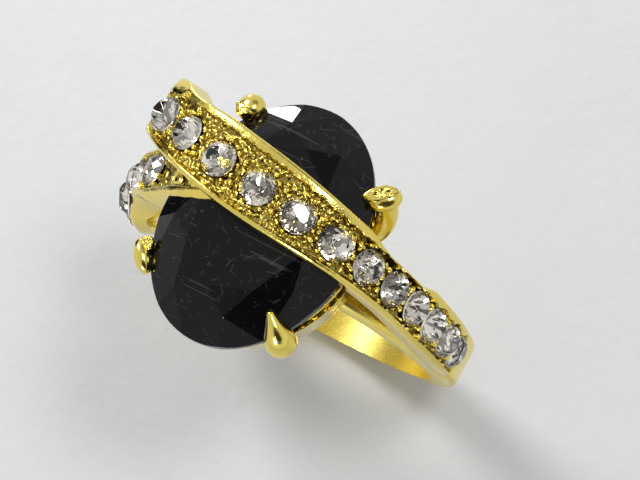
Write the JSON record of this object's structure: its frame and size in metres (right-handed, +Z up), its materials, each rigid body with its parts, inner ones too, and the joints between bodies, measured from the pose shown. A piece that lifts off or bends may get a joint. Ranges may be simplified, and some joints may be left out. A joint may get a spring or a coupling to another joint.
{
  "type": "cocktail ring",
  "caption": "Bypass cocktail ring: a stone-set band crosses over a claw-set oval black stone on a plain gold finger loop, worn on one finger",
  "frame": {"origin": "centre of the finger hole, halfway along it", "axes": "+Z up from the finger to the centre stone, +Y along the finger, +X towards the shoulder where the crossover band starts"},
  "size_m": [0.0207, 0.014, 0.026],
  "materials": {
    "gold": "bright yellow-gold plating over cast base metal",
    "black_stone": "polished opaque black glass, facet cut",
    "rhinestone": "clear cut glass with a silver foil back"
  },
  "bodies": {
    "root": {"shank": "gold", "crossover_band": "gold", "left_arm": "gold", "gallery_rail": "gold", "claw_back_right": "gold", "claw_back_left": "gold", "claw_front_left": "gold", "claw_front_right": "gold", "centre_stone": "black_stone", "crossover_rhinestone_01": "rhinestone", "crossover_rhinestone_02": "rhinestone", "crossover_rhinestone_03": "rhinestone", "crossover_rhinestone_04": "rhinestone", "crossover_rhinestone_05": "rhinestone", "crossover_rhinestone_06": "rhinestone", "crossover_rhinestone_07": "rhinestone", "crossover_rhinestone_08": "rhinestone", "crossover_rhinestone_09": "rhinestone", "crossover_rhinestone_10": "rhinestone", "crossover_rhinestone_11": "rhinestone", "crossover_rhinestone_12": "rhinestone", "left_arm_rhinestone_1": "rhinestone", "left_arm_rhinestone_2": "rhinestone", "left_arm_rhinestone_3": "rhinestone", "left_arm_rhinestone_4": "rhinestone"}
  },
  "joints": []
}
